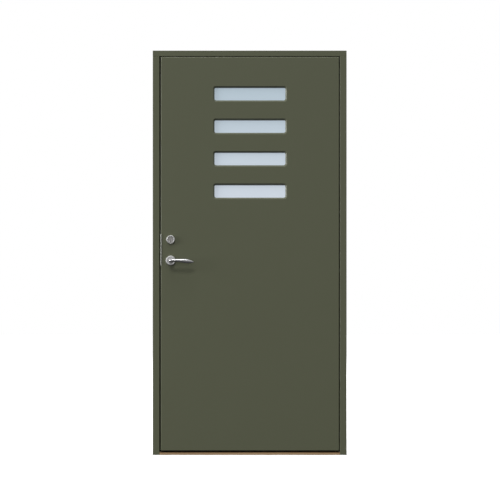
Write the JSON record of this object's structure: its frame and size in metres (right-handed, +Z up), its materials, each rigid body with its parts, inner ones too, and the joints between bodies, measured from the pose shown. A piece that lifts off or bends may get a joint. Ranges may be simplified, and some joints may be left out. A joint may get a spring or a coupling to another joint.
{
  "type": "front door",
  "caption": "Flush front door with a column of slot windows, lever handle and lock, hung in a painted wooden frame with an oak threshold.",
  "frame": {"origin": "centre of the threshold's underside, at mid-depth of the frame", "axes": "+X to the right as seen from outside, +Y into the house, +Z up"},
  "size_m": [0.99, 0.1908, 2.065],
  "materials": {
    "frame_paint": "satin",
    "leaf_paint": "satin",
    "reveal_paint": "satin",
    "oak": "satin",
    "seal_rubber": "matte",
    "foam": "matte",
    "frosted_glass": "satin",
    "spacer_aluminium": "satin",
    "zinc_steel": "satin",
    "bright_chrome": "polished",
    "nickel_brass": "satin"
  },
  "bodies": {
    "frame": {"frame_gasket": "seal_rubber", "frame_head": "frame_paint", "frame_hinge_jamb": "frame_paint", "frame_lock_jamb": "frame_paint", "frame_screws": "zinc_steel", "hinge_frame_half_1": "zinc_steel", "hinge_frame_half_2": "zinc_steel", "hinge_frame_half_3": "zinc_steel", "hinge_frame_screws": "zinc_steel", "hinge_pins": "zinc_steel", "hinge_washers": "nickel_brass", "lock_jamb_screws": "zinc_steel", "strike_plate": "zinc_steel", "threshold": "oak"},
    "leaf": {"bottom_rail": "leaf_paint", "bottom_seal": "seal_rubber", "cylinder_collar": "bright_chrome", "forend_plate": "zinc_steel", "forend_screws": "zinc_steel", "glazing_seals": "seal_rubber", "hinge_leaf_half_1": "zinc_steel", "hinge_leaf_half_2": "zinc_steel", "hinge_leaf_half_3": "zinc_steel", "hinge_leaf_screws": "zinc_steel", "hinge_stile": "leaf_paint", "inner_pane_1": "frosted_glass", "inner_pane_2": "frosted_glass", "inner_pane_3": "frosted_glass", "inner_pane_4": "frosted_glass", "inner_rose": "bright_chrome", "inner_skin": "leaf_paint", "insulation_core": "foam", "latch_guard": "zinc_steel", "lock_case": "zinc_steel", "lock_stile": "leaf_paint", "outer_cylinder": "nickel_brass", "outer_pane_1": "frosted_glass", "outer_pane_2": "frosted_glass", "outer_pane_3": "frosted_glass", "outer_pane_4": "frosted_glass", "outer_rose": "bright_chrome", "outer_skin": "leaf_paint", "pane_spacers": "spacer_aluminium", "through_bolts": "zinc_steel", "thumbturn_rose": "bright_chrome", "top_rail": "leaf_paint", "window_reveal_1": "reveal_paint", "window_reveal_2": "reveal_paint", "window_reveal_3": "reveal_paint", "window_reveal_4": "reveal_paint"},
    "handle": {"outer_lever": "bright_chrome", "inner_lever": "bright_chrome", "spindle": "zinc_steel", "follower": "zinc_steel"},
    "latch": {"latch_bolt": "nickel_brass"},
    "bolt": {"dead_bolt": "nickel_brass"},
    "key_plug": {"cylinder_plug": "nickel_brass"},
    "turn_knob": {"thumbturn": "bright_chrome"}
  },
  "joints": [
    {"name": "leaf_swing", "type": "hinge", "parent": "frame", "child": "leaf", "pos_m": [0.473, 0.0485, 1.04], "axis": [0, 0, -1], "range_deg": [0, 110]},
    {"name": "handle_turn", "type": "hinge", "parent": "leaf", "child": "handle", "pos_m": [-0.4035, 0, 0.993], "axis": [0, 1, 0], "range_deg": [0, 45], "stiffness_Nm_per_rad": 1.5, "springref_deg": -22.92},
    {"name": "latch_slide", "type": "slide", "parent": "leaf", "child": "latch", "axis": [1, 0, 0], "range_m": [0, 0.0126]},
    {"name": "thumbturn_turn", "type": "hinge", "parent": "leaf", "child": "turn_knob", "pos_m": [-0.4035, 0.05, 1.099], "axis": [0, 1, 0], "range_deg": [0, 90]},
    {"name": "dead_bolt_slide", "type": "slide", "parent": "leaf", "child": "bolt", "axis": [-1, 0, 0], "range_m": [0, 0.0201]},
    {"name": "plug_turn", "type": "hinge", "parent": "leaf", "child": "key_plug", "pos_m": [-0.4035, -0.03, 1.0905], "axis": [0, 1, 0], "range_deg": [0, 90]}
  ],
  "couplings": [
    {"joint": "latch_slide", "follows": "handle_turn", "m_per_rad": 0.015915},
    {"joint": "dead_bolt_slide", "follows": "thumbturn_turn", "m_per_rad": 0.012732},
    {"joint": "plug_turn", "follows": "thumbturn_turn", "ratio": 1}
  ]
}
